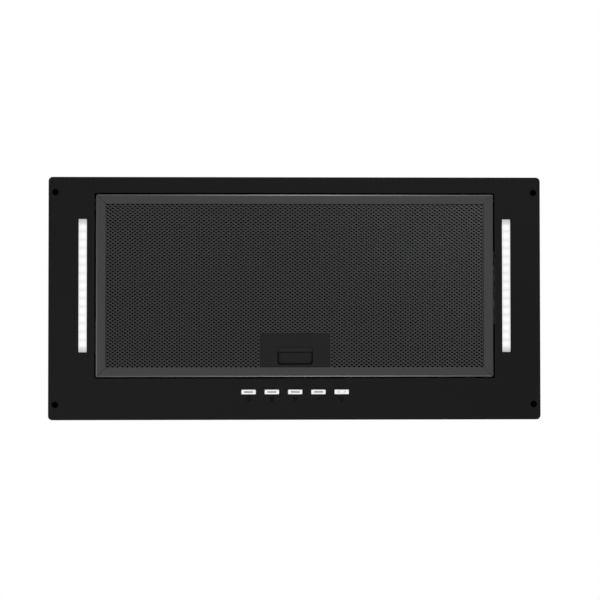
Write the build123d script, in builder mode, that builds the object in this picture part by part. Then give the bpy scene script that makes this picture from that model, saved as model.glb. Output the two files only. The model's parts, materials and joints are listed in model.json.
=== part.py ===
from build123d import *
from math import cos, degrees, hypot, radians, sin
import os

os.makedirs("parts", exist_ok=True)

# Built-in range hood, seen in use: +Z up into the cabinet, +Y to the wall behind, +X to the right.
# The origin is the middle of the panel on the cabinet's underside, where rim and screw bosses end.
# All sizes are in millimetres.

# Clearances
slide_gap = 0.3
pin_gap = 0.05
key_gap = 0.35

# Grease filter
filter_width = 423.5
filter_depth = 194.3
filter_thickness = 10.0
filter_proud = 0.5
filter_gap = 1.8
rail_width = 10.0
rail_sheet = 0.6
rail_slope_width = 1.2
rail_slope_drop = 0.45
rail_slope_corner = 0.3
mesh_thickness = 1.2
mesh_lap = 4.0
mesh_columns = 24
mesh_rows = 12
mesh_strand = 3.0
pivot_inset = 6.0
pivot_pin_radius = 2.0
pivot_head_radius = 3.4
pivot_head = 1.2
pivot_plate = 2.5
pivot_plate_half = 5.5
pivot_plate_margin = 4.0

# Filter latch
latch_width = 75.3
latch_depth = 36.3
latch_skin = 1.5
latch_wall = 1.2
latch_cover_sheet = 0.8
window_width = 38.0
window_depth = 19.4
window_front = 2.7
window_corner_radius = 3.0
dish_depth = 14.0
slider_floor = 3.0
dish_slot = 1.4
groove_width = 0.9
tongue_half = 11.0
latch_travel = 5.5
latch_coil_radius = 1.6
latch_wire_radius = 0.3
latch_coil_turns = 6
latch_coil_spare = 0.9
keeper_gap = 1.3

# Face panel
panel_drop = 8.0
panel_sheet = 1.0
panel_corner_radius = 4.5
panel_edge_radius = 1.0
opening_corner_radius = 2.0
rear_border = 17.0
screw_inset_x = 7.5
screw_inset_y = 16.5
screw_hole_radius = 3.5
boss_wall = 2.2

# Lights
light_from_opening = 12.45
light_to_side = 36.5
light_window_width = 8.8
light_window_length = 142.0
light_window_radius = 0.5
lens_recess = 0.2
lens_fit = 0.1
lens_lip = 2.0
lens_lip_thickness = 1.5
tray_margin = 3.0
tray_wall = 1.5
tray_height = 13.0
light_board = 1.6
light_board_height = 5.0
chip_count = 15
chip_pitch = 8.92
chip_length = 3.5
chip_width = 2.8
chip_height = 0.9
ear_length = 9.0
ear_thickness = 2.0
stud_radius = 2.0
stud_length = 5.8
nut_radius = 3.6
nut_height = 2.6

# Keys
key_names = ["key_light", "key_speed_1", "key_speed_2", "key_speed_3", "key_power"]
key_from_opening = 14.3
key_to_front = 29.8
key_pitch = 24.8
key_width = 15.0
key_depth = 4.65
key_corner_radius = 0.4
key_proud = 1.8
key_mark_length = 9.4
key_mark_width = 1.1
key_mark_depth = 0.3
light_mark_length = 2.6
light_mark_spacing = 6.4
key_travel = 1.5
key_lip = 1.5
key_lip_thickness = 1.4
key_stem_radius = 1.5
key_coil_radius = 2.2
key_wire_radius = 0.25
key_coil_turns = 5
switch_wall = 1.5
switch_margin = 2.6
switch_end_margin = 6.0
guide_height = 7.5
guide_plate = 1.5
stem_over_guide = 1.0
switch_press_gap = 0.1
plunger_radius = 1.6
plunger_height = 1.0
switch_size = 6.0
switch_height = 3.5
control_board_thickness = 1.6
control_cover_height = 12.0

# Body sheets
side_overhang = 17.5
end_overhang = 11.5
body_sheet = 0.8
foot_gap = 3.0
foot_end_gap = 4.0
corner_flange = 12.0
rivet_rows = 3
rivet_radius = 1.6
rivet_head_radius = 3.2
rivet_head = 1.2
cover_skirt = 14.0
cover_screw_x = 150.0
cover_screw_y = 70.0
screw_shank_radius = 1.75
screw_head_radius = 3.4
screw_head = 2.0
screw_reach = 4.0

# Blower
impeller_radius = 60.0
impeller_half = 50.0
impeller_side_gap = 6.0
disc_thickness = 2.0
impeller_ring = 2.0
blade_sets = 12
blades_per_set = 3
blade_clip_gap = 0.2
blade_depth = 11.0
blade_thickness = 1.0
blade_bow = 2.6
hub_radius = 11.0
hub_half = 9.0
shaft_radius = 4.0
nut_length = 6.0
shaft_nut_radius = 7.0
scroll_gap = 7.0
scroll_step = 12.0
scroll_wall = 2.0
tongue_angle = 70.0
throat_rise = 9.0
throat_flare = 12.0
scroll_flange = 3.0
scroll_flange_margin = 8.0
blower_lift = 18.5
inlet_radius = 50.0
inlet_lip = 3.0

# Motor
motor_radius = 40.0
motor_wall = 1.5
motor_gap = 2.0
rotor_radius = 24.0
rotor_air_gap = 0.5
core_length = 26.0
winding_length = 9.0
winding_inset = 2.0
winding_edge_radius = 2.5
bearing_radius = 8.0
bearing_length = 6.0
bracket_standoff = 14.0
bracket_plate = 2.0
bracket_ring_radius = 30.0
bracket_hole_radius = 14.0
bracket_arm_width = 12.0
bracket_post_radius = 5.0
bracket_mount_radius = 60.5
bracket_arms = 3
bush_radius = 6.0
bush_length = 3.0
motor_screw_radius = 2.0
motor_screw_circle = 22.0
motor_screw_reach = 3.0

# Duct spigot and damper
spigot_radius = 62.0
spigot_wall = 2.5
spigot_length = 60.0
spigot_flange = 3.0
spigot_flange_margin = 9.0
spigot_rear_gap = 4.0
damper_seat = 4.5
flap_gap = 0.7
flap_thickness = 1.5
flap_pin_radius = 1.5
flap_pin_offset = 5.5
flap_barrel_wall = 1.5
flap_barrel_half = 46.0
flap_lug = 3.5
damper_bar_half = 10.0
spigot_screws = 4

# Electrical pieces
capacitor_radius = 16.0
capacitor_length = 62.0
capacitor_base = 3.0
clamp_sheet = 1.2
clamp_height = 14.0
clamp_half = 12.0
capacitor_z = 45.0
capacitor_y = -45.0
driver_width = 24.0
driver_length = 80.0
driver_height = 34.0
driver_z = 60.0
terminal_from_side = 60.0
terminal_width = 70.0
terminal_depth = 50.0
terminal_height = 45.0
terminal_wall = 1.5
terminal_y = 45.0
terminal_block_width = 38.0
terminal_block_depth = 18.0
terminal_block_height = 16.0
gland_bore = 4.0
gland_thread_radius = 8.0
gland_hex_radius = 12.0
gland_hex = 6.0
gland_dome_radius = 9.5
gland_dome = 10.0
gland_nut = 5.0
lead_radius = 2.0
lead_wall_gap = 2.0
lead_bend = 18.0
clip_half = 4.0
clip_spacing = 150.0
clip_count = 3

# Plan of the panel and its openings
opening_width = filter_width + 2 * filter_gap
opening_depth = filter_depth + 2 * filter_gap
front_border = key_from_opening + key_to_front
panel_width = opening_width + 2 * (light_from_opening + light_to_side)
panel_depth = opening_depth + front_border + rear_border
filter_y = (front_border - rear_border) / 2
filter_half_x = filter_width / 2
filter_front = filter_y - filter_depth / 2
filter_rear = filter_y + filter_depth / 2
opening_front = filter_front - filter_gap
light_x = opening_width / 2 + light_from_opening
key_y = opening_front - key_from_opening
screw_x = panel_width / 2 - screw_inset_x
screw_y = panel_depth / 2 - screw_inset_y
boss_radius = screw_hole_radius + boss_wall

# Plan of the light trays and the switch housing, and the studs that hold them
tray_half_x = light_window_width / 2 + tray_margin + tray_wall
tray_half_y = light_window_length / 2 + tray_margin + tray_wall
key_places = [(index - (len(key_names) - 1) / 2) * key_pitch for index in range(len(key_names))]
housing_half_x = key_places[-1] + key_width / 2 + switch_end_margin + switch_wall
housing_half_y = key_depth / 2 + key_lip + switch_margin + switch_wall
stud_y = tray_half_y + ear_length / 2
housing_stud_x = housing_half_x + ear_length / 2
stud_places = [(side * light_x, filter_y + end * stud_y) for side in (-1, 1) for end in (-1, 1)]
stud_places += [(side * housing_stud_x, key_y) for side in (-1, 1)]

# Levels of the panel and the filter
face_z = -panel_drop
panel_top = face_z + panel_sheet
filter_bottom = face_z - filter_proud
filter_top = filter_bottom + filter_thickness
cavity_bottom = filter_bottom + rail_sheet
cavity_top = filter_top - rail_sheet
pivot_y = filter_rear - pivot_inset
pivot_z = filter_bottom + filter_thickness / 2

# Body outline and the blower in it
body_half_x = panel_width / 2 - side_overhang
body_half_y = panel_depth / 2 - end_overhang
wall_x = body_half_x - body_sheet
wall_y = body_half_y - body_sheet
arc_a = impeller_radius + scroll_gap + scroll_step / 2
arc_b = arc_a + scroll_step
arc_c = arc_b + scroll_step
shaft_y = -scroll_step
shaft_z = filter_top + blower_lift + scroll_wall + arc_b + scroll_step / 2
body_height = shaft_z + arc_a - scroll_step / 2 + scroll_wall + throat_rise
cover_top = body_height + body_sheet
scroll_half = impeller_half + impeller_side_gap
scroll_side = scroll_half + scroll_wall


def keep(piece, name):
    """Label a finished piece and write it to its own file."""
    piece.part.label = name
    export_step(piece.part, f"parts/{name}.step")


def block(corner, opposite, mode=Mode.ADD):
    """A rectangular block between two corners."""
    low = [min(pair) for pair in zip(corner, opposite)]
    high = [max(pair) for pair in zip(corner, opposite)]
    size = [b - a for a, b in zip(low, high)]
    with Locations(tuple(low)):
        Box(*size, align=(Align.MIN, Align.MIN, Align.MIN), mode=mode)


def rod(start, radius, length, along="Z", mode=Mode.ADD):
    """A round rod from its low end along one axis."""
    turns = {"X": (0, 90, 0), "Y": (-90, 0, 0), "Z": (0, 0, 0)}
    with Locations(Location(start, turns[along])):
        Cylinder(radius, length, align=(Align.CENTER, Align.CENTER, Align.MIN), mode=mode)


def coil(foot, radius, wire, length, turns, direction):
    """A compression spring of round wire, inside the given length."""
    axis = Vector(*direction)
    start = Vector(*foot) + axis * wire
    height = length - 2 * wire
    with BuildLine() as path:
        Helix(height / turns, height, radius, center=start, direction=direction)
    with BuildSketch(Plane(origin=path.line @ 0, z_dir=path.line % 0)) as section:
        Circle(wire)
    sweep(section.sketch, path=path.line, is_frenet=True)


def lead(points, bend):
    """A round insulated lead along straight runs and arcs."""
    with BuildLine() as path:
        FilletPolyline(*points, radius=bend)
    with BuildSketch(Plane(origin=path.line @ 0, z_dir=path.line % 0)) as section:
        Circle(lead_radius)
    sweep(section.sketch, path=path.line)


# Face panel: a pressed pan, rim upwards, with screw bosses and weld studs inside
with BuildPart() as face_panel:
    with BuildSketch(Plane.XY.offset(face_z)):
        RectangleRounded(panel_width, panel_depth, panel_corner_radius)
    extrude(amount=panel_drop)
    fillet(face_panel.faces().sort_by(Axis.Z)[0].edges(), panel_edge_radius)
    with BuildSketch(Plane.XY.offset(panel_top)):
        inner_width = panel_width - 2 * panel_sheet
        inner_depth = panel_depth - 2 * panel_sheet
        RectangleRounded(inner_width, inner_depth, panel_corner_radius - panel_sheet)
    extrude(amount=-panel_top, mode=Mode.SUBTRACT)
    with BuildSketch(Plane.XY.offset(face_z)):
        with Locations((0, filter_y)):
            RectangleRounded(opening_width, opening_depth, opening_corner_radius)
        with Locations((-light_x, filter_y), (light_x, filter_y)):
            RectangleRounded(light_window_width, light_window_length, light_window_radius)
        with Locations((0, key_y)):
            with GridLocations(key_pitch, 1, len(key_names), 1):
                slot_radius = key_corner_radius + key_gap
                RectangleRounded(key_width + 2 * key_gap, key_depth + 2 * key_gap, slot_radius)
    extrude(amount=panel_sheet, mode=Mode.SUBTRACT)
    with BuildSketch(Plane.XY.offset(panel_top)):
        with GridLocations(2 * screw_x, 2 * screw_y, 2, 2):
            Circle(boss_radius)
    extrude(amount=-panel_top)
    with BuildSketch(Plane.XY.offset(face_z)):
        with GridLocations(2 * screw_x, 2 * screw_y, 2, 2):
            Circle(screw_hole_radius)
    extrude(amount=panel_drop, mode=Mode.SUBTRACT)
    with BuildSketch(Plane.XY.offset(panel_top)):
        with Locations(*stud_places):
            Circle(stud_radius)
    extrude(amount=stud_length)
keep(face_panel, "face_panel")

# Body sheets stand on the panel with welded feet and are riveted at the corners
rivet_step = (body_height - panel_top) / (rivet_rows + 1)
rivet_levels = [panel_top + rivet_step * (row + 1) for row in range(rivet_rows)]
rivet_y = wall_y - corner_flange / 2
cover_screw_z = body_height - cover_skirt / 2
side_foot = side_overhang - panel_sheet - foot_gap
end_foot = end_overhang - panel_sheet - foot_gap
side_foot_half = screw_y - boss_radius - foot_end_gap
for side, name in ((-1, "body_left"), (1, "body_right")):
    with BuildPart() as wall:
        block((side * wall_x, -body_half_y, panel_top), (side * body_half_x, body_half_y, body_height))
        foot_corner = (side * (body_half_x + side_foot), side_foot_half, panel_top + body_sheet)
        block((side * wall_x, -side_foot_half, panel_top), foot_corner)
        hole_start = min(side * wall_x, side * body_half_x)
        for end in (-1, 1):
            for level in rivet_levels:
                rod((hole_start, end * rivet_y, level), rivet_radius, body_sheet, "X", Mode.SUBTRACT)
            screw_place = (hole_start, end * cover_screw_y, cover_screw_z)
            rod(screw_place, screw_shank_radius, body_sheet, "X", Mode.SUBTRACT)
    keep(wall, name)

for side, name in ((-1, "body_front"), (1, "body_rear")):
    with BuildPart() as wall:
        block((-wall_x, side * wall_y, panel_top), (wall_x, side * body_half_y, body_height))
        foot_edge = side * (body_half_y + end_foot)
        block((-wall_x, side * wall_y, panel_top), (wall_x, foot_edge, panel_top + body_sheet))
        for end in (-1, 1):
            flange_face = end * (wall_x - body_sheet)
            flange_edge = side * (wall_y - corner_flange)
            block((end * wall_x, side * wall_y, panel_top), (flange_face, flange_edge, body_height))
            hole_start = min(end * wall_x, flange_face)
            for level in rivet_levels:
                rod((hole_start, side * rivet_y, level), rivet_radius, body_sheet, "X", Mode.SUBTRACT)
            screw_place = (end * cover_screw_x, min(side * wall_y, side * body_half_y), cover_screw_z)
            rod(screw_place, screw_shank_radius, body_sheet, "Y", Mode.SUBTRACT)
    keep(wall, name)

with BuildPart() as corner_rivets:
    for side in (-1, 1):
        outer_head = min(side * body_half_x, side * (body_half_x + rivet_head))
        flange_face = side * (wall_x - body_sheet)
        inner_head = min(flange_face, flange_face - side * rivet_head)
        shank = min(side * body_half_x, flange_face)
        for end in (-1, 1):
            for level in rivet_levels:
                rod((outer_head, end * rivet_y, level), rivet_head_radius, rivet_head, "X")
                rod((shank, end * rivet_y, level), rivet_radius, 2 * body_sheet, "X")
                rod((inner_head, end * rivet_y, level), rivet_head_radius, rivet_head, "X")
keep(corner_rivets, "corner_rivets")

# Duct spigot plan, needed by the cover under it
spigot_flange_radius = spigot_radius + spigot_flange_margin
spigot_y = body_half_y - spigot_flange_radius - spigot_rear_gap
spigot_bore = spigot_radius - spigot_wall
seat_radius = spigot_bore - damper_seat
spigot_screw_circle = spigot_radius + spigot_flange_margin / 2
flange_top = cover_top + spigot_flange

# Scroll flange under the cover, its screws outside the spigot's flange
throat_rear = shaft_y + scroll_step / 2 + arc_c
tongue_y = shaft_y - scroll_step / 2 + arc_a * cos(radians(tongue_angle))
tongue_z = shaft_z - scroll_step / 2 + arc_a * sin(radians(tongue_angle))
throat_front = tongue_y - throat_flare
flange_front = throat_front - 2 * scroll_wall - scroll_flange_margin
flange_rear = throat_rear + scroll_wall + scroll_flange_margin
scroll_screw_x = spigot_flange_radius + 2 * screw_head_radius
scroll_screw_inset = scroll_flange_margin / 2
scroll_screw_places = [
    (side * scroll_screw_x, y)
    for side in (-1, 1)
    for y in (flange_front + scroll_screw_inset, flange_rear - scroll_screw_inset)
]
gland_x = body_half_x - terminal_from_side

# Top cover: a shallow lid over the body's edge, screwed through its skirt
with BuildPart() as top_cover:
    lid_x = body_half_x + body_sheet
    lid_y = body_half_y + body_sheet
    block((-lid_x, -lid_y, body_height - cover_skirt), (lid_x, lid_y, cover_top))
    inside_low = (-body_half_x, -body_half_y, body_height - cover_skirt)
    block(inside_low, (body_half_x, body_half_y, body_height), Mode.SUBTRACT)
    with BuildSketch(Plane.XY.offset(body_height)):
        with Locations((0, spigot_y)):
            Circle(seat_radius)
            with PolarLocations(spigot_screw_circle, spigot_screws, start_angle=45):
                Circle(screw_shank_radius)
        with Locations(*scroll_screw_places):
            Circle(screw_shank_radius)
        with Locations((gland_x, terminal_y)):
            Circle(gland_thread_radius)
    extrude(amount=body_sheet, mode=Mode.SUBTRACT)
    for side in (-1, 1):
        for end in (-1, 1):
            place = (min(side * body_half_x, side * lid_x), end * cover_screw_y, cover_screw_z)
            rod(place, screw_shank_radius, body_sheet, "X", Mode.SUBTRACT)
            place = (end * cover_screw_x, min(side * body_half_y, side * lid_y), cover_screw_z)
            rod(place, screw_shank_radius, body_sheet, "Y", Mode.SUBTRACT)
keep(top_cover, "top_cover")


def draw_scroll(wall):
    """The scroll and its throat in the plane across the shaft, grown outwards by a wall."""
    near_y = shaft_y - scroll_step / 2
    far_y = shaft_y + scroll_step / 2
    low_z = shaft_z - scroll_step / 2
    high_z = shaft_z + scroll_step / 2
    with BuildLine() as spiral:
        first = CenterArc((near_y, low_z), arc_a + wall, tongue_angle, 180 - tongue_angle)
        CenterArc((far_y, low_z), arc_b + wall, 180, 90)
        last = CenterArc((far_y, high_z), arc_c + wall, 270, 90)
        Line(last @ 1, first @ 0)
    make_face(spiral.edges())
    outer_front = throat_front - 2 * wall
    outer_rear = throat_rear + wall
    front_edge = [(tongue_y, tongue_z), (outer_front, body_height)]
    rear_edge = [(outer_rear, body_height), (outer_rear, high_z)]
    Polygon(*front_edge, *rear_edge, align=None)


# Scroll halves of the double-inlet blower, hung from the cover by their flange
flange_half = scroll_screw_x + scroll_flange_margin
for side, name in ((-1, "scroll_left"), (1, "scroll_right")):
    with BuildPart() as scroll:
        with BuildSketch(Plane.YZ):
            draw_scroll(scroll_wall)
        extrude(amount=side * scroll_side)
        flange_corner = (side * flange_half, flange_rear, body_height)
        block((0, flange_front, body_height - scroll_flange), flange_corner)
        with BuildSketch(Plane.YZ.offset(side * scroll_side)):
            with Locations((shaft_y, shaft_z)):
                Circle(inlet_radius + inlet_lip)
        extrude(amount=side * inlet_lip)
        with BuildSketch(Plane.YZ):
            draw_scroll(0)
        extrude(amount=side * scroll_half, mode=Mode.SUBTRACT)
        with BuildSketch(Plane.YZ.offset(side * scroll_half)):
            with Locations((shaft_y, shaft_z)):
                Circle(inlet_radius)
                if side > 0:
                    with PolarLocations(bracket_mount_radius, bracket_arms, start_angle=90):
                        Circle(motor_screw_radius)
        extrude(amount=side * (scroll_wall + inlet_lip), mode=Mode.SUBTRACT)
        with BuildSketch(Plane.XY.offset(body_height)):
            with Locations(*scroll_screw_places):
                Circle(screw_shank_radius)
        extrude(amount=-scroll_flange, mode=Mode.SUBTRACT)
    keep(scroll, name)

# Impeller: a middle disc on its hub, with clip-on sets of forward-curved blades on both faces
set_angle = 360 / blade_sets
blade_angle = set_angle / blades_per_set
blade_inner = impeller_radius - blade_depth
blade_middle = impeller_radius - blade_depth / 2
with BuildSketch() as blade_profile:
    with BuildLine():
        ThreePointArc((blade_inner, 0), (blade_middle, blade_bow), (impeller_radius, 0))
        Line((impeller_radius, 0), (impeller_radius, blade_thickness))
        back_middle = (blade_middle, blade_bow + blade_thickness)
        ThreePointArc((impeller_radius, blade_thickness), back_middle, (blade_inner, blade_thickness))
        Line((blade_inner, blade_thickness), (blade_inner, 0))
    make_face()

with BuildSketch() as blade_set:
    with PolarLocations(0, blades_per_set, angular_range=set_angle):
        add(blade_profile.sketch)

# The end ring of a set starts in the space between two blades
with BuildSketch() as ring_arc:
    with BuildLine():
        ring_start = -blade_angle / 3
        ring_sweep = set_angle - degrees(blade_clip_gap / blade_inner)
        inner_arc = CenterArc((0, 0), blade_inner, ring_start, ring_sweep)
        outer_arc = CenterArc((0, 0), impeller_radius + blade_thickness, ring_start, ring_sweep)
        Line(inner_arc @ 0, outer_arc @ 0)
        Line(inner_arc @ 1, outer_arc @ 1)
    make_face()

with BuildPart() as impeller_disc:
    rod((-disc_thickness / 2, shaft_y, shaft_z), impeller_radius, disc_thickness, "X")
    rod((-hub_half, shaft_y, shaft_z), hub_radius, 2 * hub_half, "X")
    rod((-hub_half, shaft_y, shaft_z), shaft_radius, 2 * hub_half, "X", Mode.SUBTRACT)
keep(impeller_disc, "impeller_disc")

with BuildPart() as impeller_blades:
    set_start = disc_thickness / 2 + blade_clip_gap
    for side in (-1, 1):
        with BuildSketch(Plane.YZ.offset(side * set_start)):
            with Locations((shaft_y, shaft_z)):
                with PolarLocations(0, blade_sets):
                    add(blade_set.sketch)
        extrude(amount=side * (impeller_half - set_start))
        with BuildSketch(Plane.YZ.offset(side * impeller_half)):
            with Locations((shaft_y, shaft_z)):
                with PolarLocations(0, blade_sets):
                    add(ring_arc.sketch)
        extrude(amount=-side * impeller_ring)
keep(impeller_blades, "impeller_blades")

# Motor in the right half of the impeller
motor_start = hub_half + motor_gap
motor_end = scroll_side + bracket_standoff
motor_middle = (motor_start + motor_end) / 2
bracket_end = motor_end + bracket_plate
shaft_end = bracket_end + motor_gap
with BuildPart() as motor_shaft:
    rod((-hub_half - nut_length, shaft_y, shaft_z), shaft_radius, shaft_end + hub_half + nut_length, "X")
keep(motor_shaft, "motor_shaft")

with BuildPart() as impeller_nut:
    with BuildSketch(Plane.YZ.offset(-hub_half)):
        with Locations((shaft_y, shaft_z)):
            RegularPolygon(shaft_nut_radius, 6)
            Circle(shaft_radius, mode=Mode.SUBTRACT)
    extrude(amount=-nut_length)
keep(impeller_nut, "impeller_nut")

core_start = motor_middle - core_length / 2
with BuildPart() as rotor_core:
    rod((core_start, shaft_y, shaft_z), rotor_radius, core_length, "X")
    rod((core_start, shaft_y, shaft_z), shaft_radius, core_length, "X", Mode.SUBTRACT)
keep(rotor_core, "rotor_core")

stator_bore = rotor_radius + rotor_air_gap
stator_radius = motor_radius - motor_wall
with BuildPart() as stator_core:
    rod((core_start, shaft_y, shaft_z), stator_radius, core_length, "X")
    rod((core_start, shaft_y, shaft_z), stator_bore, core_length, "X", Mode.SUBTRACT)
keep(stator_core, "stator_core")

with BuildPart() as stator_windings:
    for start in (core_start - winding_length, core_start + core_length):
        rod((start, shaft_y, shaft_z), stator_radius - winding_inset, winding_length, "X")
        rod((start, shaft_y, shaft_z), stator_bore + winding_inset, winding_length, "X", Mode.SUBTRACT)
    outer_rims = stator_windings.edges().filter_by(GeomType.CIRCLE).group_by(SortBy.RADIUS)[-1]
    fillet(outer_rims.group_by(Axis.X)[0] + outer_rims.group_by(Axis.X)[-1], winding_edge_radius)
keep(stator_windings, "stator_windings")

for side, name in ((-1, "motor_shell_inner"), (1, "motor_shell_outer")):
    with BuildPart() as shell:
        low = motor_start if side < 0 else motor_middle
        length = motor_middle - motor_start
        hollow = low + motor_wall if side < 0 else low
        rod((low, shaft_y, shaft_z), motor_radius, length, "X")
        rod((hollow, shaft_y, shaft_z), stator_radius, length - motor_wall, "X", Mode.SUBTRACT)
        rod((low, shaft_y, shaft_z), bearing_radius, length, "X", Mode.SUBTRACT)
        if side > 0:
            with BuildSketch(Plane.YZ.offset(motor_end)):
                with Locations((shaft_y, shaft_z)):
                    with PolarLocations(motor_screw_circle, bracket_arms, start_angle=30):
                        Circle(motor_screw_radius)
            extrude(amount=-motor_wall, mode=Mode.SUBTRACT)
    keep(shell, name)

with BuildPart() as motor_bearings:
    for start in (motor_start, motor_end - bearing_length):
        rod((start, shaft_y, shaft_z), bearing_radius, bearing_length, "X")
        rod((start, shaft_y, shaft_z), shaft_radius + pin_gap, bearing_length, "X", Mode.SUBTRACT)
keep(motor_bearings, "motor_bearings")

with BuildPart() as motor_bracket:
    with BuildSketch(Plane.YZ.offset(motor_end)):
        with Locations((shaft_y, shaft_z)):
            Circle(bracket_ring_radius)
            with PolarLocations(bracket_mount_radius / 2, bracket_arms, start_angle=90):
                Rectangle(bracket_mount_radius, bracket_arm_width)
            with PolarLocations(bracket_mount_radius, bracket_arms, start_angle=90):
                Circle(bracket_arm_width / 2)
            Circle(bracket_hole_radius, mode=Mode.SUBTRACT)
            with PolarLocations(motor_screw_circle, bracket_arms, start_angle=30):
                Circle(motor_screw_radius, mode=Mode.SUBTRACT)
    extrude(amount=bracket_plate)
    with BuildSketch(Plane.YZ.offset(motor_end)):
        with Locations((shaft_y, shaft_z)):
            with PolarLocations(bracket_mount_radius, bracket_arms, start_angle=90):
                Circle(bracket_post_radius)
    extrude(amount=-(bracket_standoff - bush_length))
    with BuildSketch(Plane.YZ.offset(bracket_end)):
        with Locations((shaft_y, shaft_z)):
            with PolarLocations(bracket_mount_radius, bracket_arms, start_angle=90):
                Circle(motor_screw_radius)
    extrude(amount=-(bracket_plate + bracket_standoff), mode=Mode.SUBTRACT)
keep(motor_bracket, "motor_bracket")

with BuildPart() as motor_bushes:
    with BuildSketch(Plane.YZ.offset(scroll_side)):
        with Locations((shaft_y, shaft_z)):
            with PolarLocations(bracket_mount_radius, bracket_arms, start_angle=90):
                Circle(bush_radius)
                Circle(motor_screw_radius, mode=Mode.SUBTRACT)
    extrude(amount=bush_length)
keep(motor_bushes, "motor_bushes")

# Duct spigot with a seat and pins for two damper flaps
flap_barrel_radius = flap_pin_radius + pin_gap + flap_barrel_wall
flap_pin_z = flange_top + slide_gap + flap_barrel_radius
lug_inner = flap_barrel_half + slide_gap
lug_outer = lug_inner + flap_lug
with BuildPart() as duct_spigot:
    with BuildSketch(Plane.XY.offset(cover_top)):
        with Locations((0, spigot_y)):
            Circle(spigot_flange_radius)
            Circle(seat_radius, mode=Mode.SUBTRACT)
            Rectangle(2 * seat_radius, 2 * damper_bar_half)
            with PolarLocations(spigot_screw_circle, spigot_screws, start_angle=45):
                Circle(screw_shank_radius, mode=Mode.SUBTRACT)
    extrude(amount=spigot_flange)
    with BuildSketch(Plane.XY.offset(flange_top)):
        with Locations((0, spigot_y)):
            Circle(spigot_radius)
            Circle(spigot_bore, mode=Mode.SUBTRACT)
    extrude(amount=spigot_length)
    for side in (-1, 1):
        for end in (-1, 1):
            lug_y = spigot_y + end * flap_pin_offset
            lug_low = (side * lug_inner, lug_y - flap_barrel_radius, flange_top)
            block(lug_low, (side * lug_outer, lug_y + flap_barrel_radius, flap_pin_z + flap_barrel_radius))
            hole_start = (min(side * lug_inner, side * lug_outer), lug_y, flap_pin_z)
            rod(hole_start, flap_pin_radius, flap_lug, "X", Mode.SUBTRACT)
keep(duct_spigot, "duct_spigot")

with BuildPart() as damper_pins:
    for end in (-1, 1):
        rod((-lug_outer, spigot_y + end * flap_pin_offset, flap_pin_z), flap_pin_radius, 2 * lug_outer, "X")
keep(damper_pins, "damper_pins")

# Screws of the cover's skirt, the scroll's flange, the spigot and the motor bracket, and nuts on
# the panel's studs over the ears of the light trays and the switch housing
spigot_screw_places = [
    (
        spigot_screw_circle * cos(radians(45 + 360 * index / spigot_screws)),
        spigot_y + spigot_screw_circle * sin(radians(45 + 360 * index / spigot_screws)),
    )
    for index in range(spigot_screws)
]
with BuildPart() as screws_and_nuts:
    skirt_shank = 2 * body_sheet + screw_reach
    for side in (-1, 1):
        for end in (-1, 1):
            head_x = min(side * lid_x, side * (lid_x + screw_head))
            shank_x = min(side * lid_x, side * (lid_x - skirt_shank))
            rod((head_x, end * cover_screw_y, cover_screw_z), screw_head_radius, screw_head, "X")
            rod((shank_x, end * cover_screw_y, cover_screw_z), screw_shank_radius, skirt_shank, "X")
            head_y = min(side * lid_y, side * (lid_y + screw_head))
            shank_y = min(side * lid_y, side * (lid_y - skirt_shank))
            rod((end * cover_screw_x, head_y, cover_screw_z), screw_head_radius, screw_head, "Y")
            rod((end * cover_screw_x, shank_y, cover_screw_z), screw_shank_radius, skirt_shank, "Y")
    for x, y in scroll_screw_places:
        rod((x, y, cover_top), screw_head_radius, screw_head)
        rod((x, y, body_height - scroll_flange), screw_shank_radius, body_sheet + scroll_flange)
    for x, y in spigot_screw_places:
        rod((x, y, flange_top), screw_head_radius, screw_head)
        rod((x, y, body_height), screw_shank_radius, body_sheet + spigot_flange)
    for circle, start_angle, reach in (
        (bracket_mount_radius, 90, bracket_plate + bracket_standoff + scroll_wall),
        (motor_screw_circle, 30, bracket_plate + motor_screw_reach),
    ):
        for index in range(bracket_arms):
            angle = radians(start_angle + 360 * index / bracket_arms)
            screw_place_y = shaft_y + circle * cos(angle)
            screw_place_z = shaft_z + circle * sin(angle)
            rod((bracket_end, screw_place_y, screw_place_z), screw_head_radius, screw_head, "X")
            rod((bracket_end - reach, screw_place_y, screw_place_z), motor_screw_radius, reach, "X")
    with BuildSketch(Plane.XY.offset(panel_top + ear_thickness)):
        with Locations(*stud_places):
            RegularPolygon(nut_radius, 6)
            Circle(stud_radius, mode=Mode.SUBTRACT)
    extrude(amount=nut_height)
keep(screws_and_nuts, "screws_and_nuts")

flap_radius = spigot_bore - flap_gap
flap_start = flap_pin_offset + hypot(flap_barrel_radius, flap_barrel_radius) + slide_gap
flap_base = flange_top + slide_gap
for side, name in ((-1, "damper_flap_front"), (1, "damper_flap_rear")):
    with BuildPart() as flap:
        with BuildSketch(Plane.XY.offset(flap_base)):
            with Locations((0, spigot_y)):
                Circle(flap_radius)
            with Locations((0, spigot_y + side * (flap_start - flap_radius))):
                Rectangle(2 * flap_radius, 2 * flap_radius, mode=Mode.SUBTRACT)
            with Locations((0, spigot_y + side * (flap_pin_offset + flap_start) / 2)):
                Rectangle(2 * flap_barrel_half, flap_start - flap_pin_offset)
        extrude(amount=flap_thickness)
        pin_place = (-flap_barrel_half, spigot_y + side * flap_pin_offset, flap_pin_z)
        rod(pin_place, flap_barrel_radius, 2 * flap_barrel_half, "X")
        rod(pin_place, flap_pin_radius + pin_gap, 2 * flap_barrel_half, "X", Mode.SUBTRACT)
    keep(flap, name)

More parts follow.
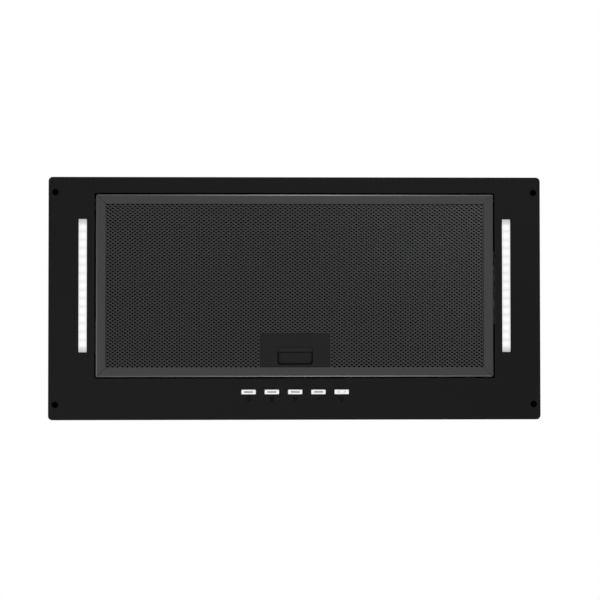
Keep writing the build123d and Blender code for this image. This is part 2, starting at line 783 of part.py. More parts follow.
# Grease filter: a mitred channel frame round two meshes and a media pad
outer_corners = [
    (-filter_half_x, filter_front),
    (filter_half_x, filter_front),
    (filter_half_x, filter_rear),
    (-filter_half_x, filter_rear),
]
window_x = filter_half_x - rail_width
window_low = filter_front + rail_width
window_high = filter_rear - rail_width
inner_corners = [
    (-window_x, window_low),
    (window_x, window_low),
    (window_x, window_high),
    (-window_x, window_high),
]
channel_low = (-filter_half_x + rail_sheet, filter_front + rail_sheet, cavity_bottom)
channel_high = (filter_half_x - rail_sheet, filter_rear - rail_sheet, cavity_top)

# Levels inside the latch, which lies between the front face and the rear mesh
latch_front = window_low - mesh_lap
latch_rear = window_low + latch_depth
latch_top = cavity_top - mesh_thickness
latch_inner_x = latch_width / 2 - latch_wall
skin_top = cavity_bottom + latch_skin
latch_roof = latch_top - latch_cover_sheet
floor_top = latch_roof - slide_gap
floor_bottom = floor_top - slider_floor
ridge_low = skin_top + slide_gap
tongue_slot_low = (-tongue_half - slide_gap, opening_front, floor_bottom - slide_gap)

rail_names = ["filter_rail_front", "filter_rail_right", "filter_rail_rear", "filter_rail_left"]
for start, name in enumerate(rail_names):
    end = (start + 1) % len(rail_names)
    with BuildPart() as rail:
        with BuildSketch(Plane.XY.offset(filter_bottom)):
            with Locations((0, filter_y)):
                RectangleRounded(filter_width, filter_depth, rail_slope_width + rail_slope_corner)
        extrude(amount=filter_thickness)
        front_face = rail.faces().sort_by(Axis.Z)[0]
        chamfer(front_face.edges(), rail_slope_width, rail_slope_drop, reference=front_face)
        with BuildSketch(Plane.XY.offset(filter_bottom)):
            trapezium = [outer_corners[start], outer_corners[end], inner_corners[end], inner_corners[start]]
            Polygon(*trapezium, align=None)
        extrude(amount=filter_thickness, mode=Mode.INTERSECT)
        block(channel_low, channel_high, Mode.SUBTRACT)
        if name == "filter_rail_front":
            slot_high = (tongue_half + slide_gap, window_low, floor_top + slide_gap)
            block(tongue_slot_low, slot_high, Mode.SUBTRACT)
        pin_start = (-filter_half_x, pivot_y, pivot_z)
        rod(pin_start, pivot_pin_radius, filter_width, "X", Mode.SUBTRACT)
    keep(rail, name)

mesh_low_y = window_low - mesh_lap
mesh_high_y = window_high + mesh_lap
mesh_x = window_x + mesh_lap
notch_low = (-latch_width / 2, mesh_low_y, cavity_bottom)
notch_high = (latch_width / 2, latch_rear, latch_top)
column_step = 2 * window_x / mesh_columns
row_step = (window_high - window_low) / mesh_rows
with BuildPart() as filter_front_mesh:
    with BuildSketch(Plane.XY.offset(cavity_bottom)):
        with Locations((0, filter_y)):
            Rectangle(2 * mesh_x, mesh_high_y - mesh_low_y)
            with GridLocations(column_step, row_step, mesh_columns, mesh_rows):
                Rectangle(column_step - mesh_strand, row_step - mesh_strand, mode=Mode.SUBTRACT)
        with Locations((0, (mesh_low_y + latch_rear + mesh_strand) / 2)):
            Rectangle(latch_width + 2 * mesh_strand, latch_rear + mesh_strand - mesh_low_y)
    extrude(amount=mesh_thickness)
    block(notch_low, notch_high, Mode.SUBTRACT)
keep(filter_front_mesh, "filter_front_mesh")

with BuildPart() as filter_media:
    media_low = (-mesh_x, mesh_low_y, cavity_bottom + mesh_thickness)
    block(media_low, (mesh_x, mesh_high_y, latch_top))
    block(notch_low, notch_high, Mode.SUBTRACT)
keep(filter_media, "filter_media")

with BuildPart() as filter_rear_mesh:
    block((-mesh_x, mesh_low_y, latch_top), (mesh_x, mesh_high_y, cavity_top))
keep(filter_rear_mesh, "filter_rear_mesh")

window_front_y = window_low + window_front
window_middle_y = window_front_y + window_depth / 2
with BuildPart() as latch_housing:
    block(notch_low, notch_high)
    latch_inside_low = (-latch_inner_x, latch_front + latch_wall, skin_top)
    latch_inside_high = (latch_inner_x, latch_rear - latch_wall, latch_top)
    block(latch_inside_low, latch_inside_high, Mode.SUBTRACT)
    with BuildSketch(Plane.XY.offset(cavity_bottom)):
        with Locations((0, window_middle_y)):
            RectangleRounded(window_width, window_depth, window_corner_radius)
    extrude(amount=latch_skin, mode=Mode.SUBTRACT)
    slot_high = (tongue_half + slide_gap, window_front_y, floor_top + slide_gap)
    block(tongue_slot_low, slot_high, Mode.SUBTRACT)
keep(latch_housing, "latch_housing")

with BuildPart() as latch_cover:
    cover_low = (-latch_inner_x, latch_front + latch_wall, latch_roof)
    block(cover_low, latch_inside_high)
keep(latch_cover, "latch_cover")

# Latch slider: a floor with a tongue and a bar for the finger, and a dish between a slot and a groove
slider_half = latch_inner_x - slide_gap
slider_front = latch_front + latch_wall + slide_gap
spring_length = latch_travel + 2 * latch_wire_radius * latch_coil_turns + latch_coil_spare
slider_rear = latch_rear - latch_wall - spring_length
ridge_y = window_front_y + dish_depth
ridge_half = window_width / 2
with BuildPart() as latch_slider:
    block((-slider_half, slider_front, floor_bottom), (slider_half, slider_rear, floor_top))
    block((-ridge_half, ridge_y, ridge_low), (ridge_half, slider_rear, floor_bottom))
    block((-tongue_half, opening_front + slide_gap, floor_bottom), (tongue_half, slider_front, floor_top))
    with BuildSketch(Plane.XY.offset(floor_bottom)):
        with Locations((0, window_middle_y)):
            RectangleRounded(window_width, window_depth, window_corner_radius)
            dish_width = window_width - 2 * dish_slot
            RectangleRounded(dish_width, window_depth - 2 * dish_slot, window_corner_radius, mode=Mode.SUBTRACT)
        with Locations((0, window_front_y + dish_depth / 2)):
            Rectangle(window_width, dish_depth, mode=Mode.INTERSECT)
    extrude(amount=slider_floor, mode=Mode.SUBTRACT)
    groove_low = (-ridge_half, ridge_y - groove_width, floor_bottom)
    block(groove_low, (ridge_half, ridge_y, (floor_bottom + floor_top) / 2), Mode.SUBTRACT)
keep(latch_slider, "latch_slider")

with BuildPart() as latch_spring:
    spring_foot = (0, slider_rear, (ridge_low + floor_top) / 2)
    coil(spring_foot, latch_coil_radius, latch_wire_radius, spring_length, latch_coil_turns, (0, 1, 0))
keep(latch_spring, "latch_spring")

with BuildPart() as latch_keeper:
    keeper_half = tongue_half + slide_gap
    keeper_low = (-keeper_half, key_y + housing_half_y + keeper_gap, panel_top)
    block(keeper_low, (keeper_half, opening_front, floor_bottom - slide_gap))
keep(latch_keeper, "latch_keeper")

# Pivot pins in the side rails, lying in open slots of two plates welded to the panel
plate_start = opening_width / 2 + slide_gap
plate_end = plate_start + pivot_plate
with BuildPart() as filter_pivot_pins:
    for side in (-1, 1):
        web_face = side * (filter_half_x - rail_sheet)
        head_end = web_face - side * pivot_head
        rod((min(web_face, head_end), pivot_y, pivot_z), pivot_head_radius, pivot_head, "X")
        pin_length = plate_end - filter_half_x + rail_sheet
        rod((min(web_face, side * plate_end), pivot_y, pivot_z), pivot_pin_radius, pin_length, "X")
keep(filter_pivot_pins, "filter_pivot_pins")

with BuildPart() as pivot_plates:
    seat = pivot_pin_radius + pin_gap
    plate_top = pivot_z + seat + pivot_plate_margin
    for side in (-1, 1):
        plate_low = (side * plate_start, pivot_y - pivot_plate_half, panel_top)
        block(plate_low, (side * plate_end, pivot_y + pivot_plate_half, plate_top))
        slot_start = min(side * plate_start, side * plate_end)
        rod((slot_start, pivot_y, pivot_z), seat, pivot_plate, "X", Mode.SUBTRACT)
        slot_corner = (side * plate_start, pivot_y - seat, pivot_z)
        block(slot_corner, (side * plate_end, pivot_y + seat, plate_top), Mode.SUBTRACT)
keep(pivot_plates, "pivot_plates")

# Light strips: lens in the panel's window, chips on a board in a tray
tray_top = panel_top + tray_height
board_low = panel_top + light_board_height
hollow_x = tray_half_x - tray_wall
hollow_y = tray_half_y - tray_wall
strip_places = [(-light_x, filter_y), (light_x, filter_y)]
with BuildPart() as light_lenses:
    with BuildSketch(Plane.XY.offset(face_z + lens_recess)):
        with Locations(*strip_places):
            lens_width = light_window_width - 2 * lens_fit
            lens_length = light_window_length - 2 * lens_fit
            RectangleRounded(lens_width, lens_length, light_window_radius)
    extrude(amount=panel_sheet - lens_recess)
    with BuildSketch(Plane.XY.offset(panel_top)):
        with Locations(*strip_places):
            Rectangle(light_window_width + 2 * lens_lip, light_window_length + 2 * lens_lip)
    extrude(amount=lens_lip_thickness)
keep(light_lenses, "light_lenses")

with BuildPart() as light_trays:
    for strip_x, strip_y in strip_places:
        tray_low = (strip_x - tray_half_x, strip_y - tray_half_y, panel_top)
        block(tray_low, (strip_x + tray_half_x, strip_y + tray_half_y, tray_top))
        hollow_low = (strip_x - hollow_x, strip_y - hollow_y, panel_top)
        hollow_high = (strip_x + hollow_x, strip_y + hollow_y, tray_top - tray_wall)
        block(hollow_low, hollow_high, Mode.SUBTRACT)
        for end in (-1, 1):
            ear_low = (strip_x - hollow_x, strip_y + end * tray_half_y, panel_top)
            ear_edge = strip_y + end * (tray_half_y + ear_length)
            block(ear_low, (strip_x + hollow_x, ear_edge, panel_top + ear_thickness))
            stud_place = (strip_x, strip_y + end * stud_y, panel_top)
            rod(stud_place, stud_radius, ear_thickness, "Z", Mode.SUBTRACT)
keep(light_trays, "light_trays")

with BuildPart() as light_boards:
    for strip_x, strip_y in strip_places:
        board_corner = (strip_x - hollow_x, strip_y - hollow_y, board_low)
        block(board_corner, (strip_x + hollow_x, strip_y + hollow_y, board_low + light_board))
    with BuildSketch(Plane.XY.offset(board_low)):
        with Locations(*strip_places):
            with GridLocations(1, chip_pitch, 1, chip_count):
                Rectangle(chip_width, chip_length)
    extrude(amount=-chip_height)
keep(light_boards, "light_boards")

# Keys, each on a stem guided in the switch housing, with a spring round the stem
key_lip_low = panel_top + slide_gap
key_lip_top = key_lip_low + key_lip_thickness
guide_low = panel_top + guide_height
guide_top = guide_low + guide_plate
stem_top = guide_top + stem_over_guide
plunger_low = stem_top + key_travel + switch_press_gap
switch_low = plunger_low + plunger_height
board_base = switch_low + switch_height
board_top = board_base + control_board_thickness
for key_x, name in zip(key_places, key_names):
    with BuildPart() as key:
        with BuildSketch(Plane.XY.offset(face_z - key_proud)):
            with Locations((key_x, key_y)):
                RectangleRounded(key_width, key_depth, key_corner_radius)
        extrude(amount=key_lip_low - face_z + key_proud)
        face_edges = key.faces().sort_by(Axis.Z)[0].edges()
        fillet(face_edges, key_corner_radius / 2)
        with BuildSketch(Plane.XY.offset(face_z - key_proud)):
            with Locations((key_x, key_y)):
                if name == "key_light":
                    with GridLocations(light_mark_spacing, 1, 2, 1):
                        Rectangle(light_mark_length, key_mark_width)
                else:
                    Rectangle(key_mark_length, key_mark_width)
        extrude(amount=key_mark_depth, mode=Mode.SUBTRACT)
        with BuildSketch(Plane.XY.offset(key_lip_low)):
            with Locations((key_x, key_y)):
                Rectangle(key_width + 2 * key_lip, key_depth + 2 * key_lip)
        extrude(amount=key_lip_thickness)
        rod((key_x, key_y, key_lip_top), key_stem_radius, stem_top - key_lip_top)
    keep(key, name)

with BuildPart() as key_springs:
    coil_length = guide_low - key_lip_top
    for key_x in key_places:
        coil_foot = (key_x, key_y, key_lip_top)
        coil(coil_foot, key_coil_radius, key_wire_radius, coil_length, key_coil_turns, (0, 0, 1))
keep(key_springs, "key_springs")

with BuildPart() as switch_housing:
    housing_low = (-housing_half_x, key_y - housing_half_y, panel_top)
    block(housing_low, (housing_half_x, key_y + housing_half_y, board_base))
    room_x = housing_half_x - switch_wall
    room_y = housing_half_y - switch_wall
    block((-room_x, key_y - room_y, panel_top), (room_x, key_y + room_y, guide_low), Mode.SUBTRACT)
    block((-room_x, key_y - room_y, guide_top), (room_x, key_y + room_y, board_base), Mode.SUBTRACT)
    for key_x in key_places:
        rod((key_x, key_y, guide_low), key_stem_radius + pin_gap, guide_plate, "Z", Mode.SUBTRACT)
    for side in (-1, 1):
        ear_low = (side * housing_half_x, key_y - room_y, panel_top)
        ear_edge = side * (housing_half_x + ear_length)
        block(ear_low, (ear_edge, key_y + room_y, panel_top + ear_thickness))
        rod((side * housing_stud_x, key_y, panel_top), stud_radius, ear_thickness, "Z", Mode.SUBTRACT)
keep(switch_housing, "switch_housing")

with BuildPart() as control_board:
    board_corner = (-housing_half_x, key_y - housing_half_y, board_base)
    block(board_corner, (housing_half_x, key_y + housing_half_y, board_top))
    for key_x in key_places:
        half = switch_size / 2
        block((key_x - half, key_y - half, switch_low), (key_x + half, key_y + half, board_base))
        rod((key_x, key_y, plunger_low), plunger_radius, plunger_height)
keep(control_board, "control_board")

control_top = board_top + control_cover_height
with BuildPart() as control_cover:
    control_low = (-housing_half_x, key_y - housing_half_y, board_top)
    block(control_low, (housing_half_x, key_y + housing_half_y, control_top))
    hollow_top = (room_x, key_y + room_y, control_top - switch_wall)
    block((-room_x, key_y - room_y, board_top), hollow_top, Mode.SUBTRACT)
keep(control_cover, "control_cover")

# Run capacitor on the right wall, light driver on the left wall
capacitor_x = wall_x - capacitor_base - capacitor_radius
capacitor_foot = (capacitor_x, capacitor_y, capacitor_z)
clamp_low = capacitor_z + (capacitor_length - clamp_height) / 2
with BuildPart() as capacitor:
    rod(capacitor_foot, capacitor_radius, capacitor_length)
keep(capacitor, "capacitor")

with BuildPart() as capacitor_clamp:
    rod((capacitor_x, capacitor_y, clamp_low), capacitor_radius + clamp_sheet, clamp_height)
    base_low = (capacitor_x, capacitor_y - clamp_half, clamp_low)
    block(base_low, (wall_x, capacitor_y + clamp_half, clamp_low + clamp_height))
    rod((capacitor_x, capacitor_y, clamp_low), capacitor_radius, clamp_height, "Z", Mode.SUBTRACT)
keep(capacitor_clamp, "capacitor_clamp")

driver_half = driver_length / 2
with BuildPart() as light_driver:
    driver_low = (-wall_x, filter_y - driver_half, driver_z)
    block(driver_low, (-wall_x + driver_width, filter_y + driver_half, driver_z + driver_height))
keep(light_driver, "light_driver")

# Terminal box under the cover, with the supply cable's gland above it
terminal_base = body_height - terminal_height
terminal_half_x = terminal_width / 2
terminal_half_y = terminal_depth / 2
with BuildPart() as terminal_box:
    box_low = (gland_x - terminal_half_x, terminal_y - terminal_half_y, terminal_base)
    block(box_low, (gland_x + terminal_half_x, terminal_y + terminal_half_y, body_height))
    inside_x = terminal_half_x - terminal_wall
    inside_y = terminal_half_y - terminal_wall
    inside_low = (gland_x - inside_x, terminal_y - inside_y, terminal_base + terminal_wall)
    block(inside_low, (gland_x + inside_x, terminal_y + inside_y, body_height), Mode.SUBTRACT)
keep(terminal_box, "terminal_box")

with BuildPart() as terminal_block:
    block_x = terminal_block_width / 2
    block_y = terminal_block_depth / 2
    block_low = (gland_x - block_x, terminal_y - block_y, terminal_base + terminal_wall)
    block_top = terminal_base + terminal_wall + terminal_block_height
    block(block_low, (gland_x + block_x, terminal_y + block_y, block_top))
keep(terminal_block, "terminal_block")

gland_low = body_height - gland_nut
gland_length = gland_nut + body_sheet + gland_hex + gland_dome
with BuildPart() as cable_gland:
    rod((gland_x, terminal_y, body_height), gland_thread_radius, body_sheet)
    for level, height in ((gland_low, gland_nut), (cover_top, gland_hex)):
        with BuildSketch(Plane.XY.offset(level)):
            with Locations((gland_x, terminal_y)):
                RegularPolygon(gland_hex_radius, 6)
        extrude(amount=height)
    rod((gland_x, terminal_y, cover_top + gland_hex), gland_dome_radius, gland_dome)
    fillet(cable_gland.faces().sort_by(Axis.Z)[-1].edges(), (gland_dome_radius - gland_bore) / 2)
    rod((gland_x, terminal_y, gland_low), gland_bore, gland_length, "Z", Mode.SUBTRACT)
keep(cable_gland, "cable_gland")

# Leads between the boxes, clipped where they pass a wall
lead_level = tray_top - tray_wall - lead_radius
lead_y = -wall_y + lead_wall_gap + lead_radius
tray_front = filter_y - tray_half_y
with BuildPart() as lead_clips:
    clip_depth = lead_wall_gap + lead_radius
    for index in range(clip_count):
        clip_x = (index - (clip_count - 1) / 2) * clip_spacing
        clip_low = (clip_x - clip_half, -wall_y, lead_level - clip_depth)
        block(clip_low, (clip_x + clip_half, lead_y + clip_depth, lead_level + clip_depth))
        rod((clip_x - clip_half, lead_y, lead_level), lead_radius, 2 * clip_half, "X", Mode.SUBTRACT)
keep(lead_clips, "lead_clips")

driver_x = -wall_x + driver_width / 2
driver_run = (driver_z - tray_top) / 3
motor_lead_y = shaft_y + stator_radius - winding_inset - lead_radius
motor_lead_reach = (gland_x - motor_end) / 2
motor_lead_rise = (terminal_base - shaft_z) / 2
riser_x = wall_x - lead_wall_gap - lead_radius
control_lead_z = board_top + control_cover_height / 2
entry_z = terminal_base + terminal_height / 2
light_route = [
    (light_x, tray_front, lead_level),
    (light_x, lead_y, lead_level),
    (-light_x, lead_y, lead_level),
    (-light_x, tray_front, lead_level),
]
driver_route = [
    (-light_x, filter_y, tray_top),
    (-light_x, filter_y, tray_top + driver_run),
    (driver_x, filter_y, driver_z - driver_run),
    (driver_x, filter_y, driver_z),
]
motor_route = [
    (motor_end, motor_lead_y, shaft_z),
    (motor_end + motor_lead_reach, motor_lead_y, shaft_z),
    (gland_x, terminal_y, shaft_z + motor_lead_rise),
    (gland_x, terminal_y, terminal_base),
]
control_route = [
    (housing_half_x, key_y, control_lead_z),
    (riser_x, key_y, control_lead_z),
    (riser_x, key_y, entry_z),
    (riser_x, terminal_y, entry_z),
    (gland_x + terminal_half_x, terminal_y, entry_z),
]
with BuildPart() as internal_leads:
    lead(light_route, lead_bend)
    lead(driver_route, driver_run / 2)
    lead(motor_route, motor_lead_rise / 2)
    lead(control_route, lead_bend / 2)
keep(internal_leads, "internal_leads")
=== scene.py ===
"""Range hood: finishes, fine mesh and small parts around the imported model. Sizes are in metres."""

import json
import math

import bmesh
import bpy
from mathutils import Matrix, Vector

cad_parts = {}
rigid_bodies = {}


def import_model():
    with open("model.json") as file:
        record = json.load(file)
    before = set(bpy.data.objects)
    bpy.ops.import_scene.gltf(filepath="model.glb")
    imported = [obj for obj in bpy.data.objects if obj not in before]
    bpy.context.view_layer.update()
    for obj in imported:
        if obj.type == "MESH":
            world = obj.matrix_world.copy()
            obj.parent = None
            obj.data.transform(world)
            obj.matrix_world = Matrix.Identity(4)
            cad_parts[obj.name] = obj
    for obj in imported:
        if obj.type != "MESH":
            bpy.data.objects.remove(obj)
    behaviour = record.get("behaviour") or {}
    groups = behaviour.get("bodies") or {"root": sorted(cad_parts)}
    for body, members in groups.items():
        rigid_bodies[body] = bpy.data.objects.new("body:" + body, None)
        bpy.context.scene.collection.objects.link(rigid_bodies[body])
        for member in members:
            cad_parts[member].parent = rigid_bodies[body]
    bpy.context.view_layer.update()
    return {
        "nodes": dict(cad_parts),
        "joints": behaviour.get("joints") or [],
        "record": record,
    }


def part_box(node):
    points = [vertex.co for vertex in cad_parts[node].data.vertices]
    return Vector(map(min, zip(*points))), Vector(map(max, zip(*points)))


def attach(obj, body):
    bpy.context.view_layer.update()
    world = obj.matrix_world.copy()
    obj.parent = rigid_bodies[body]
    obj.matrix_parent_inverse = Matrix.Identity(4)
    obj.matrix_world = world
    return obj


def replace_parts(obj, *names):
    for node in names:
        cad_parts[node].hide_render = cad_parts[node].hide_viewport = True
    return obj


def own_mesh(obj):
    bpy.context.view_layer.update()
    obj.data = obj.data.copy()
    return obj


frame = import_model()
nodes = frame["nodes"]

MM = 0.001

# Tolerances for reading the solids: points that are one, a common level, the share that shows a head
weld_distance = 0.001 * MM
level_tolerance = 0.01 * MM
head_match = 0.9

# The photograph's view, straight up at the panel with a slight lean
camera_aim = Vector((-5.2, -1.8, -8.0)) * MM
camera_distance = 1.5
camera_side = math.radians(1.218)
camera_lean = math.radians(-1.073)
camera_roll = math.radians(-0.033)
sensor_width = 36.0
focal_length = 84.38

# Studio: the floor glows where it is seen, with a lift for the camera alone
ambient = 0.38
floor_level = -1.7
floor_half = 200.0
floor_colour = (0.8, 0.8, 0.8)
floor_roughness = 0.9
floor_gloss = 0.1
floor_glow = 0.5
floor_lift = 0.15

# Lamps: name, place, width, height and power in watts
lamps = (
    ("under_left", (0.95, -0.9, -1.1), 0.6, 0.6, 7),
    ("under_right", (-0.95, 0.9, -1.1), 0.6, 0.6, 5.8),
    ("rear_strip", (-0.06, 1.1, -1.0), 0.26, 0.4, 4.9),
    ("front_strip", (-0.1, -1.0, -1.05), 0.28, 0.4, 3.4),
    ("front_fill", (0.2, -1.0, -1.05), 0.26, 0.4, 0.5),
    ("left_strip", (1.2, -0.08, -0.97), 0.24, 0.4, 1.5),
    ("top", (0.5, -0.7, 1.9), 1.4, 1.4, 14),
)

# Panel
panel_colour = (0.0045, 0.0045, 0.0047)

# Expanded mesh of the grease filter: diamonds with a long six-sided hole each
diamond_x = 5.25 * MM
diamond_y = 3.75 * MM
hole_half_x = 1.7 * MM
hole_flat_x = 0.55 * MM
hole_half_y = 0.92 * MM
strand_twist = 0.12 * MM
strand_depth = 0.5 * MM
mesh_setback = 0.3 * MM
mesh_edge = 1.8 * MM
mesh_colour = (0.045, 0.045, 0.046)

# Frame of the filter
rail_colour = (0.056, 0.056, 0.057)
mitre_width = 0.5 * MM
mitre_colour = (0.01, 0.01, 0.01)
mitre_strength = 0.7

# Filter latch
latch_colour = (0.0076, 0.0076, 0.0078)
latch_roughness = 0.5
latch_gloss = 0.13
# Painted highlight behind the slider's bar edge and painted shade over its tongue, placed from the
# housing's front
bar_from_front = 20.7 * MM
bar_edge = 0.2 * MM
bar_highlight_gain = 1.4
tongue_end = 2.0 * MM
tongue_shade = 0.1

# Crimped foil between the meshes
foil_pitch = 6.0 * MM
foil_wave = 1.0 * MM
foil_steps = 8
foil_margin = 3.0 * MM
foil_latch_gap = 0.4 * MM
# Near black as painted shade inside the filter, seen through the mesh's holes
foil_shade_colour = (0.0015, 0.0015, 0.0015)

# Keys and the marks sunk in them: a mark's floor faces down, between two heights over the key's face
key_colour = (0.92, 0.92, 0.91)
mark_colour = (0.002, 0.002, 0.002)
light_key_mark = (0.6, 0.6, 0.6)
mark_start = 0.15 * MM
mark_stop = 0.6 * MM
mark_facing = -0.9

# Printed signs in front of the keys
sign_offset = 7.5 * MM
sign_thickness = 0.04 * MM
ring_outer = 2.2 * MM
ring_inner = 1.3 * MM
blade_radii = {"key_speed_3": 1.05 * MM, "key_speed_2": 0.9 * MM, "key_speed_1": 0.7 * MM}
blade_spacing = 1.45
blade_count = 3
bulb_radius = 1.9 * MM
bulb_stroke = 0.5 * MM
bulb_base = 0.9 * MM
sign_segments = 28

# Screw heads: recess and dome are shares of the head, the flat at the pole is a share of a ring
screw_head = 2.0 * MM
recess_reach = 0.62
recess_half_width = 0.13
recess_depth = 0.5
recess_start = 0.2
head_dome = 0.35
head_rings = 10
head_flat = 0.6
head_segments = 48

# Tip of a screw, in shares of the shank's radius
tip_radius = 0.6
tip_length = 0.5

# Rivets and nuts
rivet_head = 1.2 * MM
rivet_segments = 32
dome_steps = 6
nut_sides = 6
nut_chamfer = 0.12

# Near-black discs in the screw holes, painted shade inside the holes
shade_disc_depth = 2.0 * MM
shade_disc_segments = 32

# Lenses and the light spots behind them
lens_colour = (0.4, 0.4, 0.395)
spot_count = 15
spot_pitch = 8.92 * MM
spot_core = 1.0 * MM
spot_reach = 6.0 * MM
spot_glow = 0.58
gap_glow = 0.4
end_glow = 0.1

# Textures: the scales are in cells per metre, and the wave node turns by so many radians per unit
grain_scale = 2200
grain_depth = 0.02 * MM
grain_strength = 0.5
spangle_scale = 110
spangle_bend = 0.02
wave_radians = 20


# Measuring the model


def islands(node):
    """The separate solids of a node, each as its points and its faces."""
    solid = bmesh.new()
    solid.from_mesh(nodes[node].data)
    bmesh.ops.remove_doubles(solid, verts=solid.verts, dist=weld_distance)
    numbers = {}
    found = []
    for first in solid.verts:
        if first in numbers:
            continue
        numbers[first] = 0
        members = [first]
        for vertex in members:
            for link in vertex.link_edges:
                other = link.other_vert(vertex)
                if other not in numbers:
                    numbers[other] = len(members)
                    members.append(other)
        around = dict.fromkeys(face for vertex in members for face in vertex.link_faces)
        points = [vertex.co.copy() for vertex in members]
        found.append((points, [[numbers[corner] for corner in face.verts] for face in around]))
    solid.free()
    return found


def corners_of(points):
    """Lowest and highest corner of some points."""
    low = Vector([min(p[axis] for p in points) for axis in range(3)])
    high = Vector([max(p[axis] for p in points) for axis in range(3)])
    return low, high


def unit(axis):
    """The unit vector of an axis."""
    return Vector([1.0 if index == axis else 0.0 for index in range(3)])


# Finishes


def add_node(tree, kind, inputs, **settings):
    """Add a node; each input is a value or the socket that feeds it."""
    made = tree.nodes.new(kind)
    for name, value in settings.items():
        setattr(made, name, value)
    for name, value in inputs.items():
        if isinstance(value, bpy.types.NodeSocket):
            tree.links.new(value, made.inputs[name])
        else:
            made.inputs[name].default_value = value
    return made


class Finish:
    """A procedural material whose textures lie in the part's own frame."""

    def __init__(self, name, colour, roughness, metallic=0.0, specular=0.5):
        self.material = bpy.data.materials.new(name)
        self.material.use_nodes = True
        self.tree = self.material.node_tree
        self.shader = self.tree.nodes["Principled BSDF"]
        self.shader.inputs["Base Color"].default_value = (*colour, 1)
        self.shader.inputs["Roughness"].default_value = roughness
        self.shader.inputs["Metallic"].default_value = metallic
        self.shader.inputs["Specular IOR Level"].default_value = specular
        self.colour = colour
        self.roughness = roughness
        coordinates = self.tree.nodes.new("ShaderNodeTexCoord")
        self.place = coordinates.outputs["Object"]
        self.facing = coordinates.outputs["Normal"]

    def node(self, kind, inputs, **settings):
        """Add a node to the material."""
        return add_node(self.tree, kind, inputs, **settings)

    def math(self, operation, *values):
        """One sum of sockets or numbers."""
        made = self.node("ShaderNodeMath", dict(enumerate(values)), operation=operation)
        return made.outputs[0]

    def noise(self, scale, detail=3.0, stretch=None):
        """Smooth noise from 0 to 1; the scale is in cells per metre."""
        place = self.place
        if stretch:
            place = self.node("ShaderNodeMapping", {"Vector": place, "Scale": stretch}).outputs[0]
        made = self.node("ShaderNodeTexNoise", {"Vector": place, "Scale": scale, "Detail": detail})
        return made.outputs["Fac"]

    def spread(self, factor, low, high):
        """Map a 0 to 1 factor to a range."""
        made = self.node("ShaderNodeMapRange", {"Value": factor, "To Min": low, "To Max": high})
        return made.outputs[0]

    def fade(self, value, start, stop, first, last):
        """Go smoothly from one number to another while a value goes from start to stop."""
        inputs = {"Value": value, "From Min": start, "From Max": stop, "To Min": first, "To Max": last}
        made = self.node("ShaderNodeMapRange", inputs, interpolation_type="SMOOTHSTEP")
        return made.outputs[0]

    def between(self, factor, first, second):
        """Mix two colours; the node keeps its colour sockets at places 6 and 7 and the result at 2."""
        ends = [end if isinstance(end, bpy.types.NodeSocket) else (*end, 1) for end in (first, second)]
        made = self.node("ShaderNodeMix", {0: factor, 6: ends[0], 7: ends[1]}, data_type="RGBA")
        return made.outputs[2]

    def paint(self, socket):
        """Feed the base colour."""
        self.tree.links.new(socket, self.shader.inputs["Base Color"])

    def mottle(self, factor, change):
        """Let the base colour swing by a share either way."""
        dark = [c * (1 - change) for c in self.colour]
        light = [c * (1 + change) for c in self.colour]
        colour = self.between(factor, dark, light)
        self.paint(colour)
        return colour

    def polish(self, factor, change):
        """Let the roughness swing by an amount either way."""
        socket = self.spread(factor, self.roughness - change, self.roughness + change)
        self.tree.links.new(socket, self.shader.inputs["Roughness"])

    def emboss(self, height, depth, strength=1.0):
        """Raise the surface by a height texture."""
        made = self.node("ShaderNodeBump", {"Height": height, "Distance": depth, "Strength": strength})
        self.tree.links.new(made.outputs[0], self.shader.inputs["Normal"])


def powder_coat():
    """Satin black coat with a fine orange peel."""
    finish = Finish("panel_black", panel_colour, roughness=0.42, specular=0.1)
    finish.mottle(finish.noise(7), change=0.12)
    finish.polish(finish.noise(40), change=0.05)
    finish.emboss(finish.noise(1500, detail=2), depth=0.012 * MM, strength=0.6)
    return finish.material


def drawn_metal(name, colour, along):
    """Dark anodised aluminium with fine drawing lines along one axis; gives its colour too."""
    finish = Finish(name, colour, roughness=0.34, metallic=1.0)
    lines = finish.noise(1, detail=4, stretch=[40 if axis == along else 2600 for axis in "XYZ"])
    faint_lines = finish.between(0.5, [0.5] * 3, lines)
    drawn = finish.mottle(faint_lines, change=0.1)
    finish.polish(lines, change=0.05)
    finish.emboss(lines, depth=0.004 * MM, strength=0.5)
    return finish, drawn


def mesh_metal():
    """Expanded sheet of the filter."""
    finish, _ = drawn_metal("filter_mesh", mesh_colour, "X")
    return finish.material


def frame_rail(name, along):
    """Drawn rail with dark mitre lines at the frame's corners."""
    finish, drawn = drawn_metal(name, rail_colour, along)
    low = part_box("filter_rail_front")[0]
    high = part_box("filter_rail_rear")[1]
    axes = finish.node("ShaderNodeSeparateXYZ", {0: finish.place}).outputs
    inward = []
    for axis, index in (("X", 0), ("Y", 1)):
        middle = (low[index] + high[index]) / 2
        offset = finish.math("ABSOLUTE", finish.math("SUBTRACT", axes[axis], middle))
        inward.append(finish.math("SUBTRACT", high[index] - middle, offset))
    joint = finish.math("ABSOLUTE", finish.math("SUBTRACT", *inward))
    mitre = finish.fade(joint, mitre_width / 2, mitre_width, mitre_strength, 0.0)
    finish.paint(finish.between(mitre, drawn, mitre_colour))
    return finish.material


def foil():
    """Foil with creases, near black as painted shade deep in the filter, and darker where its creases
    sink as painted shade.
    """
    finish = Finish("filter_foil", foil_shade_colour, roughness=0.6, specular=0.05)
    creases = finish.noise(260, detail=5)
    finish.mottle(creases, change=0.5)
    finish.emboss(creases, depth=0.3 * MM)
    return finish.material


def moulding(name, colour, roughness, specular=0.5):
    """Moulded plastic with an even grain and faint flow marks."""
    finish = Finish(name, colour, roughness, specular=specular)
    finish.mottle(finish.noise(25, detail=2), change=0.08)
    finish.polish(finish.noise(90), change=0.06)
    finish.emboss(finish.noise(grain_scale, detail=2), grain_depth, grain_strength)
    return finish.material


